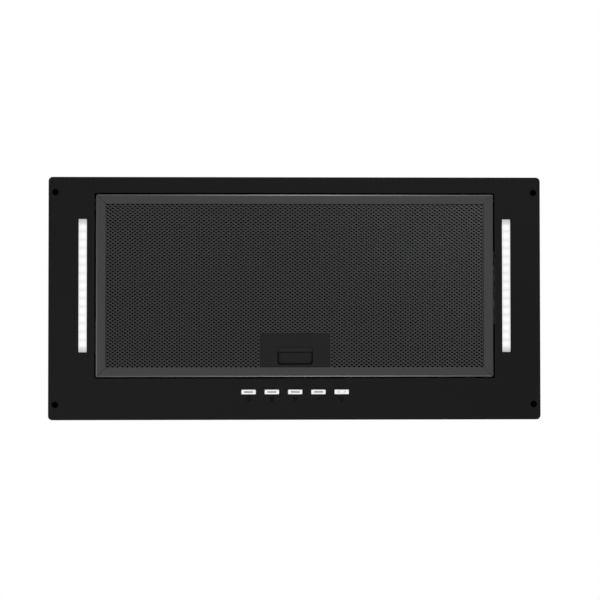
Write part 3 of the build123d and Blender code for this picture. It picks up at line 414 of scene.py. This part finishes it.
def grip_plastic():
    """The latch's slider: a painted highlight makes its bar a little lighter behind its edge, and
    painted shade makes its tongue dark.
    """
    finish = Finish("latch_grip", latch_colour, latch_roughness, specular=latch_gloss)
    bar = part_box("latch_housing")[0].y + bar_from_front
    place = finish.node("ShaderNodeSeparateXYZ", {0: finish.place}).outputs["Y"]
    behind = finish.math("SUBTRACT", place, bar)
    # Painted highlight: the slider is painted lighter behind the bar's edge
    bar_highlight = finish.fade(behind, -bar_edge, bar_edge, 1.0, bar_highlight_gain)
    # Painted shade: the tongue's front end is painted dark
    tongue = finish.fade(behind, -bar_from_front, tongue_end - bar_from_front, tongue_shade, 1.0)
    level = finish.math("MULTIPLY", tongue, bar_highlight)
    shaded = finish.node("ShaderNodeVectorMath", {0: level, 1: finish.colour}, operation="MULTIPLY")
    finish.paint(shaded.outputs[0])
    finish.emboss(finish.noise(grain_scale, detail=2), grain_depth, grain_strength)
    return finish.material


def key_plastic(name, printed):
    """White key; the floor of the sunk mark is printed."""
    finish = Finish(name, key_colour, roughness=0.28, specular=0.25)
    base = finish.mottle(finish.noise(150, detail=2), change=0.02)
    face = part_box("key_power")[0].z
    level = finish.node("ShaderNodeSeparateXYZ", {0: finish.place}).outputs["Z"]
    upward = finish.node("ShaderNodeSeparateXYZ", {0: finish.facing}).outputs["Z"]
    sunk = finish.math("GREATER_THAN", level, face + mark_start)
    near = finish.math("LESS_THAN", level, face + mark_stop)
    faces_down = finish.math("LESS_THAN", upward, mark_facing)
    mark = finish.math("MULTIPLY", finish.math("MULTIPLY", sunk, near), faces_down)
    finish.paint(finish.between(mark, base, printed))
    finish.emboss(finish.noise(1800, detail=2), depth=0.004 * MM, strength=0.4)
    return finish.material


def opal_lens():
    """Opal diffuser with a row of light spots behind it, dimmer at both ends."""
    finish = Finish("lens_white", lens_colour, roughness=0.4)
    points, _ = islands("light_lenses")[0]
    low, high = corners_of(points)
    middle = (low + high) / 2
    axes = finish.node("ShaderNodeSeparateXYZ", {0: finish.place}).outputs
    across = finish.math("SUBTRACT", finish.math("ABSOLUTE", axes["X"]), abs(middle.x))
    along = finish.math("SUBTRACT", axes["Y"], middle.y)
    step = finish.math("WRAP", along, spot_pitch / 2, -spot_pitch / 2)
    offset = finish.node("ShaderNodeCombineXYZ", {0: across, 1: step}).outputs[0]
    away = finish.node("ShaderNodeVectorMath", {0: offset}, operation="LENGTH").outputs["Value"]
    spot = finish.fade(away, spot_core, spot_reach, spot_glow, gap_glow)
    last_spot = spot_pitch * (spot_count - 1) / 2
    end = finish.fade(finish.math("ABSOLUTE", along), last_spot, high.y - middle.y, 1.0, end_glow)
    glow = finish.math("MULTIPLY", spot, end)
    light = finish.between(glow, (0, 0, 0), (1, 1, 1))
    finish.tree.links.new(light, finish.shader.inputs["Emission Color"])
    finish.shader.inputs["Emission Strength"].default_value = 1.0
    finish.polish(finish.noise(300), change=0.05)
    return finish.material


def galvanised(name, colour):
    """Hot-dip zinc with its spangle."""
    finish = Finish(name, colour, roughness=0.56, metallic=1.0)
    bent = finish.noise(30)
    shifted = finish.node("ShaderNodeMixRGB", {0: spangle_bend, 1: finish.place, 2: bent}).outputs[0]
    spangle = finish.node("ShaderNodeTexVoronoi", {"Vector": shifted, "Scale": spangle_scale})
    grey = finish.node("ShaderNodeRGBToBW", {0: spangle.outputs["Color"]}).outputs[0]
    clouds = finish.noise(9, detail=4)
    half_and_half = finish.math("MULTIPLY_ADD", clouds, 0.5, finish.math("MULTIPLY", grey, 0.5))
    finish.mottle(half_and_half, change=0.16)
    finish.polish(grey, change=0.06)
    finish.emboss(finish.noise(900), depth=0.01 * MM, strength=0.5)
    return finish.material


def worked_metal(name, colour, roughness, change=0.12, scale=180):
    """Plated or turned metal with faint tool marks and stains."""
    finish = Finish(name, colour, roughness, metallic=1.0)
    finish.mottle(finish.noise(scale, detail=4), change)
    finish.polish(finish.noise(scale * 2), change=0.08)
    finish.emboss(finish.noise(scale * 12, detail=2), depth=0.006 * MM, strength=0.5)
    return finish.material


def banded(name, colour, roughness, radian):
    """Stacked sheets or wound wire: waves across the shaft, with the length of one radian given."""
    finish = Finish(name, colour, roughness, metallic=1.0)
    inputs = {"Vector": finish.place, "Scale": 1 / radian / wave_radians, "Distortion": 0.4}
    bands = finish.node("ShaderNodeTexWave", inputs).outputs["Fac"]
    finish.mottle(bands, change=0.35)
    finish.emboss(bands, depth=0.2 * MM)
    return finish.material


def circuit_board():
    """Green solder mask over copper tracks."""
    finish = Finish("board_green", (0.02, 0.12, 0.05), roughness=0.35)
    inputs = {"Vector": finish.place, "Scale": 160.0, "Mortar Size": 0.012}
    tracks = finish.node("ShaderNodeTexBrick", inputs).outputs["Fac"]
    light = [c * 1.7 for c in finish.colour]
    finish.paint(finish.between(tracks, finish.colour, light))
    finish.emboss(tracks, depth=0.03 * MM)
    return finish.material


def sheath(name, colour, roughness):
    """Soft sheath or rubber, slightly dusty."""
    finish = Finish(name, colour, roughness, specular=0.3)
    finish.mottle(finish.noise(60, detail=4), change=0.15)
    finish.polish(finish.noise(200), change=0.08)
    finish.emboss(finish.noise(1400), depth=0.02 * MM, strength=0.4)
    return finish.material


finishes = {
    "panel_black": powder_coat(),
    "filter_rail": frame_rail("filter_rail", "X"),
    "filter_mesh": mesh_metal(),
    "filter_media": foil(),
    "latch_black": moulding("latch_black", latch_colour, latch_roughness, latch_gloss),
    "key_white": key_plastic("key_white", mark_colour),
    "lens_white": opal_lens(),
    "galvanised": galvanised("galvanised", (0.5, 0.51, 0.52)),
    "fastener": worked_metal("fastener", (0.5, 0.49, 0.46), 0.3),
    "spigot_black": moulding("spigot_black", (0.016, 0.016, 0.017), 0.42),
    "blower_plastic": moulding("blower_plastic", (0.06, 0.06, 0.064), 0.45),
    "impeller_grey": moulding("impeller_grey", (0.2, 0.2, 0.21), 0.4),
    "motor_steel": worked_metal("motor_steel", (0.42, 0.43, 0.44), 0.35),
    "shaft_steel": worked_metal("shaft_steel", (0.5, 0.5, 0.5), 0.22, change=0.06, scale=400),
    "core_steel": banded("core_steel", (0.2, 0.2, 0.2), 0.4, radian=0.8 * MM),
    "copper": banded("copper", (0.5, 0.2, 0.08), 0.3, radian=1.2 * MM),
    "bronze": worked_metal("bronze", (0.4, 0.26, 0.12), 0.4),
    "bush_rubber": sheath("bush_rubber", (0.012, 0.012, 0.012), 0.7),
    "spring_steel": worked_metal("spring_steel", (0.55, 0.55, 0.55), 0.25, change=0.05, scale=500),
    "board_green": circuit_board(),
    "box_grey": moulding("box_grey", (0.3, 0.3, 0.3), 0.45),
    "box_white": moulding("box_white", (0.68, 0.68, 0.67), 0.4),
    "gland_black": moulding("gland_black", (0.018, 0.018, 0.018), 0.4),
    "lead_sheath": sheath("lead_sheath", (0.55, 0.55, 0.55), 0.5),
}
rail_across = frame_rail("filter_rail_across", "Y")
# Black print for the signs, and painted shade for the discs in the screw holes
ink_and_painted_shade = moulding("ink_and_painted_shade", (0.0008, 0.0008, 0.0008), 0.6, specular=0.02)


def set_finish(thing, material):
    """Give an object one material."""
    thing.data.materials.clear()
    thing.data.materials.append(material)


for subpart in frame["record"]["subparts"]:
    set_finish(nodes[subpart["node"]], finishes[subpart["material_slot"]])
for name in ("filter_rail_left", "filter_rail_right"):
    set_finish(nodes[name], rail_across)
set_finish(nodes["latch_slider"], grip_plastic())
set_finish(nodes["key_light"], key_plastic("key_white_light", light_key_mark))


# Pieces


def make_piece(name, vertices, faces, slot, body, material, smooth=False):
    """A mesh piece that rides on a body."""
    mesh = bpy.data.meshes.new(name)
    mesh.from_pydata(vertices, [], faces)
    mesh.validate()
    for face in mesh.polygons:
        face.use_smooth = smooth
    piece = bpy.data.objects.new(name, mesh)
    bpy.context.scene.collection.objects.link(piece)
    set_finish(piece, material)
    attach(piece, body)
    return piece


def expanded_sheet(low, high, middle_y, level, up, hidden):
    """Expanded metal between two corners in plan; up is 1 or -1, hidden is a box left out."""
    half_x = diamond_x / 2
    half_y = diamond_y / 2
    columns = math.ceil(high.x / half_x)
    rows = math.ceil((high.y - low.y) / 2 / half_y)
    vertices = []
    faces = []
    corners = {}

    def corner(column, row):
        if (column, row) not in corners:
            corners[column, row] = len(vertices)
            vertices.append((column * half_x, middle_y + row * half_y, level))
        return corners[column, row]

    hole = [
        (hole_half_x, 0),
        (hole_flat_x, hole_half_y),
        (-hole_flat_x, hole_half_y),
        (-hole_half_x, 0),
        (-hole_flat_x, -hole_half_y),
        (hole_flat_x, -hole_half_y),
    ]
    sides = len(hole)
    for row in range(-rows, rows + 1):
        for column in range(-columns, columns + 1):
            x = column * half_x
            y = middle_y + row * half_y
            inside = low.x < x < high.x and low.y < y < high.y
            covered = hidden and hidden[0].x < x < hidden[1].x and hidden[0].y < y < hidden[1].y
            if (row + column) % 2 or not inside or covered:
                continue
            right = corner(column + 1, row)
            rear = corner(column, row + 1)
            left = corner(column - 1, row)
            front = corner(column, row - 1)
            rim = len(vertices)
            for hole_x, hole_y in hole:
                twist = math.copysign(strand_twist, hole_y) if hole_y else 0
                vertices.append((x + hole_x, y + hole_y, level + up * twist))
            for hole_x, hole_y in hole:
                vertices.append((x + hole_x, y + hole_y, level - up * strand_depth))
            ring = range(rim, rim + sides)
            # Ten triangles from the diamond's corners to the hole's rim, then the walls of the hole
            sheet = [
                (right, ring[1], ring[0]),
                (right, rear, ring[1]),
                (rear, ring[2], ring[1]),
                (rear, left, ring[2]),
                (left, ring[3], ring[2]),
                (left, ring[4], ring[3]),
                (left, front, ring[4]),
                (front, ring[5], ring[4]),
                (front, right, ring[5]),
                (right, ring[0], ring[5]),
            ]
            for index in range(sides):
                after = (index + 1) % sides
                sheet.append((ring[index], ring[after], ring[after] + sides, ring[index] + sides))
            faces += sheet if up > 0 else [tuple(reversed(face)) for face in sheet]
    return vertices, faces


def dress_filter():
    """Fine meshes and foil in place of the filter's plain layers."""
    front_low, front_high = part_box("filter_front_mesh")
    rear_low, rear_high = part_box("filter_rear_mesh")
    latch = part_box("latch_housing")
    half_diamond = Vector((diamond_x, diamond_y, 0)) / 2
    covered = (latch[0] + half_diamond, latch[1] - half_diamond)
    edge = Vector((mesh_edge, mesh_edge, 0))
    middle_y = (front_low.y + front_high.y) / 2
    sheets = (
        ("filter_mesh_front", "filter_front_mesh", front_low.z + mesh_setback, -1, covered),
        ("filter_mesh_rear", "filter_rear_mesh", rear_high.z - mesh_setback, 1, None),
    )
    for name, node, level, up, hidden in sheets:
        parts = expanded_sheet(front_low + edge, front_high - edge, middle_y, level, up, hidden)
        piece = make_piece(name, *parts, "filter_mesh", "filter", finishes["filter_mesh"])
        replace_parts(piece, node)
    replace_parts(make_foil(front_high.z, rear_low.z, latch), "filter_media")


def make_foil(low_z, high_z, latch):
    """Two layers of crimped foil round the latch, with waves across and along the filter."""
    low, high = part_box("filter_media")
    edge = Vector((foil_margin, foil_margin, 0))
    low, high = low + edge, high - edge
    side = latch[1].x + foil_latch_gap
    behind = latch[1].y + foil_latch_gap
    panels = (
        ((low.x, -side), (low.y, high.y)),
        ((-side, side), (behind, high.y)),
        ((side, high.x), (low.y, high.y)),
    )
    room = high_z - low_z
    vertices = []
    faces = []
    for layer, height in ((0, low_z + room / 4), (1, low_z + room * 3 / 4)):
        for spans in panels:
            crimp(vertices, faces, spans[layer], spans[1 - layer], layer, height)
    material = finishes["filter_media"]
    return make_piece("filter_foil", vertices, faces, "filter_media", "filter", material, smooth=True)


def crimp(vertices, faces, length, width, layer, height):
    """One sheet of foil with waves along its length."""
    run = length[1] - length[0]
    steps = round(run / foil_pitch * foil_steps)
    for index in range(steps + 1):
        u = length[0] + run * index / steps
        z = height + foil_wave * math.sin(2 * math.pi * index / foil_steps)
        for v in width:
            vertices.append((u, v, z) if layer == 0 else (v, u, z))
        if index:
            last = len(vertices) - 1
            faces.append((last - 3, last - 1, last, last - 2))


def revolve(vertices, faces, place, along, profile, segments, dip=None):
    """Turn (distance along, radius) pairs about an axis and close both ends; dip sinks points."""
    turn = along.to_track_quat("Z", "Y").to_matrix()
    rings = []
    for height, radius in profile:
        ring = []
        for index in range(segments):
            angle = 2 * math.pi * index / segments
            sunk = dip(angle, radius, height) if dip else 0
            local = Vector((radius * math.cos(angle), radius * math.sin(angle), height - sunk))
            ring.append(len(vertices))
            vertices.append(place + turn @ local)
        rings.append(ring)
    for ring, after in zip(rings, rings[1:]):
        for index in range(segments):
            other = (index + 1) % segments
            faces.append((ring[index], ring[other], after[other], after[index]))
    faces.append(tuple(reversed(rings[0])))
    faces.append(tuple(rings[-1]))


def dress_fasteners():
    """Cross-recessed screws and six-sided nuts, and rivets with domed heads."""
    plated = finishes["fastener"]
    vertices = []
    faces = []
    for points, _ in islands("screws_and_nuts"):
        add_fastener(vertices, faces, points)
    screws = make_piece("fasteners", vertices, faces, "fastener", "chassis", plated, smooth=True)
    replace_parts(screws, "screws_and_nuts")
    vertices = []
    faces = []
    for points, _ in islands("corner_rivets"):
        low, high = corners_of(points)
        middle = (low + high) / 2
        radius = (high.y - low.y) / 2
        half = (high.x - low.x) / 2
        seat = half - rivet_head
        shank = radius / 2
        turns = quarter_turn(dome_steps)
        dome = [(seat + rivet_head * math.cos(turn), radius * math.sin(turn)) for turn in turns]
        profile = [(-h, r) for h, r in dome] + [(-seat, shank), (seat, shank)] + dome[::-1]
        revolve(vertices, faces, middle, unit(0), profile, rivet_segments)
    rivets = make_piece("rivets", vertices, faces, "fastener", "chassis", plated, smooth=True)
    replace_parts(rivets, "corner_rivets")


def quarter_turn(steps):
    """Angles from near the pole of a dome to its rim."""
    return [math.pi / 2 * (index + 0.5) / (steps + 0.5) for index in range(steps + 1)]


def add_fastener(vertices, faces, points):
    """One screw with a domed, cross-recessed head, or one nut, where a plain one stands."""
    low, high = corners_of(points)
    size = high - low
    middle = (low + high) / 2
    # The nuts are the only ones below the cabinet's underside
    if high.z < 0:
        inner = min((p - middle).xy.length for p in points)
        outer = max((p - middle).xy.length for p in points)
        add_nut(vertices, faces, middle, size.z / 2, inner, outer)
        return
    # A screw is as wide as its head two ways, so its axis is the one whose size differs
    axis = max(range(3), key=lambda a: abs(size[a] - sorted(size)[1]))
    head_radius = sorted(size)[1] / 2

    def from_axis(point):
        return (point - middle - (point - middle).project(unit(axis))).length

    # The head is at the low end if that end is nearly as wide as the whole screw
    low_end = max(from_axis(p) for p in points if p[axis] < low[axis] + level_tolerance)
    way = -1 if low_end > head_radius * head_match else 1
    shank = min(from_axis(p) for p in points)
    length = size[axis] / 2
    dome = screw_head * head_dome
    seat = length - screw_head

    def recess(angle, radius, height):
        if height < seat + screw_head * recess_start or radius > head_radius * recess_reach:
            return 0
        arm = min(abs(radius * math.cos(angle)), abs(radius * math.sin(angle)))
        return screw_head * recess_depth if arm < head_radius * recess_half_width else 0

    profile = [(-length, shank * tip_radius), (-length + shank * tip_length, shank)]
    profile += [(seat, shank), (seat, head_radius), (length - dome, head_radius)]
    # The last ring leaves a small flat at the pole
    for ring in range(head_rings):
        share = 1 - (ring + 1) / (head_rings + head_flat)
        profile.append((length - dome * share**2, head_radius * share))
    revolve(vertices, faces, middle, unit(axis) * way, profile, head_segments, recess)


def add_nut(vertices, faces, middle, half, inner, outer):
    """A six-sided nut with chamfered corners round its stud."""
    chamfer = nut_chamfer * outer
    flank = half - chamfer / 2
    levels = [(-half, inner), (-half, outer - chamfer), (-flank, outer)]
    levels += [(-height, radius) for height, radius in reversed(levels)]
    start = len(vertices)
    for height, radius in levels:
        for x, y in disc_points(middle.x, middle.y, radius, nut_sides):
            vertices.append(Vector((x, y, middle.z + height)))
    for ring in range(len(levels)):
        here = start + ring * nut_sides
        after = start + (ring + 1) % len(levels) * nut_sides
        for index in range(nut_sides):
            other = (index + 1) % nut_sides
            faces.append((here + index, here + other, after + other, after + index))


def dress_springs():
    """A coil for each key and one for the latch, each riding on the parent body of its joint."""
    keys = [name for name in nodes if name.startswith("key_") and name != "key_springs"]
    for points, faces in islands("key_springs"):
        foot = points[0]
        key = min(keys, key=lambda name: abs(sum(corner.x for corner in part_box(name)) / 2 - foot.x))
        add_coil(f"coil_{key}", "key_springs", f"{key}_press", points, faces)
    for points, faces in islands("latch_spring"):
        add_coil("coil_latch", "latch_spring", "latch_slide", points, faces)


def add_coil(name, node, joint, points, faces):
    """One coil on the parent body of a joint, in place of the plain spring, with a mesh of its own."""
    slide = next(j for j in frame["joints"] if j["name"] == joint)
    steel = finishes["spring_steel"]
    coil = make_piece(name, points, faces, "spring_steel", slide["parent"], steel, smooth=True)
    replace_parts(coil, node)
    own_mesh(coil)


def disc_points(x, y, radius, count=sign_segments, turn=0.0):
    """Points on a circle."""
    angles = [turn + 2 * math.pi * index / count for index in range(count)]
    return [(x + radius * math.cos(a), y + radius * math.sin(a)) for a in angles]


def flat_sign(outline, level, vertices, faces):
    """A thin printed patch with the given outline, seen from below."""
    start = len(vertices)
    count = len(outline)
    vertices += [(x, y, level - sign_thickness) for x, y in outline]
    vertices += [(x, y, level) for x, y in outline]
    faces.append(tuple(start + index for index in reversed(range(count))))
    for index in range(count):
        other = (index + 1) % count
        faces.append((start + index, start + other, start + count + other, start + count + index))


def flat_ring(x, y, outer_radius, inner_radius, level, vertices, faces):
    """A thin printed ring."""
    outer = disc_points(x, y, outer_radius)
    inner = disc_points(x, y, inner_radius)
    for index in range(len(outer)):
        after = (index + 1) % len(outer)
        flat_sign([inner[index], outer[index], outer[after], inner[after]], level, vertices, faces)


def dress_signs():
    """A ring, three fan sizes and a lamp printed in front of the keys."""
    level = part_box("face_panel")[0].z
    for key in ("key_power", "key_speed_3", "key_speed_2", "key_speed_1", "key_light"):
        low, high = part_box(key)
        x = (low.x + high.x) / 2
        y = (low.y + high.y) / 2 - sign_offset
        vertices = []
        faces = []
        if key == "key_power":
            flat_ring(x, y, ring_outer, ring_inner, level, vertices, faces)
        elif key == "key_light":
            flat_ring(x, y, bulb_radius, bulb_radius - bulb_stroke, level, vertices, faces)
            base_y = y - bulb_radius - bulb_stroke
            base = [(-1, 0), (1, 0), (1, 1), (-1, 1)]
            outline = [(x + bulb_base * side, base_y - bulb_base * (1 - rise)) for side, rise in base]
            flat_sign(outline, level, vertices, faces)
        else:
            radius = blade_radii[key]
            for blade_x, blade_y in disc_points(x, y, radius * blade_spacing, blade_count, -math.pi / 2):
                flat_sign(disc_points(blade_x, blade_y, radius), level, vertices, faces)
        make_piece(f"sign_{key[4:]}", vertices, faces, "panel_black", "chassis", ink_and_painted_shade)


def shade_screw_holes():
    """Near-black discs of painted shade near the upper end of the panel's four open screw holes."""
    mount = next(m for m in frame["record"]["mounts"] if m["name"] == "cabinet_screws")
    sizes = mount["dims"]
    profile = [(-shade_disc_depth, sizes["hole_r_mm"] * MM), (-shade_disc_depth / 2, sizes["hole_r_mm"] * MM)]
    vertices = []
    faces = []
    for side in (-1, 1):
        for end in (-1, 1):
            offset = Vector((side * sizes["spacing_x_mm"], end * sizes["spacing_y_mm"], 0)) * MM / 2
            place = Vector(mount["pos_m"]) + offset
            revolve(vertices, faces, place, Vector(mount["axis"]), profile, shade_disc_segments)
    # Painted shade: the discs darken the holes as the shade inside them would
    make_piece("screw_hole_shade_discs", vertices, faces, "bush_rubber", "chassis", ink_and_painted_shade)


# Studio


def see_white(tree, path):
    """1 for the rays that should meet a white background."""
    total = path.outputs["Is Camera Ray"]
    for name in ("Is Glossy Ray", "Is Transmission Ray"):
        rays = {0: total, 1: path.outputs[name]}
        total = add_node(tree, "ShaderNodeMath", rays, operation="MAXIMUM").outputs[0]
    return total


def set_world():
    """Even soft light, with white behind the object."""
    world = bpy.data.worlds.new("studio")
    world.use_nodes = True
    bpy.context.scene.world = world
    tree = world.node_tree
    light = tree.nodes["Background"]
    light.inputs["Color"].default_value = (1, 1, 1, 1)
    light.inputs["Strength"].default_value = ambient
    white = add_node(tree, "ShaderNodeBackground", {"Color": (1, 1, 1, 1)})
    path = add_node(tree, "ShaderNodeLightPath", {})
    shaders = {0: see_white(tree, path), 1: light.outputs[0], 2: white.outputs[0]}
    mix = add_node(tree, "ShaderNodeMixShader", shaders)
    tree.links.new(mix.outputs[0], tree.nodes["World Output"].inputs["Surface"])


def lay_floor():
    """A plain pale floor at a kitchen's height, bright enough to pass into the white behind it."""
    mesh = bpy.data.meshes.new("floor")
    corners = [(-1, -1), (1, -1), (1, 1), (-1, 1)]
    points = [(x * floor_half, y * floor_half, floor_level) for x, y in corners]
    mesh.from_pydata(points, [], [(0, 1, 2, 3)])
    floor = bpy.data.objects.new("floor", mesh)
    bpy.context.scene.collection.objects.link(floor)
    finish = Finish("floor", floor_colour, floor_roughness, specular=floor_gloss)
    finish.shader.inputs["Emission Color"].default_value = (1, 1, 1, 1)
    path = finish.node("ShaderNodeLightPath", {})
    glow = finish.math("MULTIPLY", see_white(finish.tree, path), floor_glow)
    lifted = finish.math("MULTIPLY_ADD", path.outputs["Is Camera Ray"], floor_lift, glow)
    finish.tree.links.new(lifted, finish.shader.inputs["Emission Strength"])
    set_finish(floor, finish.material)


def softbox(name, place, width, height, power):
    """An area lamp that faces the object."""
    lamp = bpy.data.lights.new(name, "AREA")
    lamp.shape = "RECTANGLE"
    lamp.size = width
    lamp.size_y = height
    lamp.energy = power
    light = bpy.data.objects.new(name, lamp)
    bpy.context.scene.collection.objects.link(light)
    light.location = place
    light.rotation_euler = (-Vector(place)).to_track_quat("-Z", "Y").to_euler()


def aim_camera():
    """The photograph's camera."""
    lens = bpy.data.cameras.new("camera")
    lens.sensor_width = sensor_width
    lens.lens = focal_length
    camera = bpy.data.objects.new("camera", lens)
    bpy.context.scene.collection.objects.link(camera)
    side = math.sin(camera_side)
    lean = math.sin(camera_lean)
    place = camera_aim + camera_distance * Vector((side, lean, -math.sqrt(1 - side**2 - lean**2)))
    ahead = (camera_aim - place).normalized()
    right = ahead.cross(Vector((0, 1, 0))).normalized()
    axes = Matrix((right, right.cross(ahead), -ahead)).transposed().to_4x4()
    camera.matrix_world = Matrix.Translation(place) @ axes @ Matrix.Rotation(camera_roll, 4, "Z")
    bpy.context.scene.camera = camera


dress_filter()
dress_fasteners()
dress_springs()
dress_signs()
shade_screw_holes()
set_world()
lay_floor()
aim_camera()
for lamp in lamps:
    softbox(*lamp)
bpy.context.scene.view_settings.view_transform = "Standard"
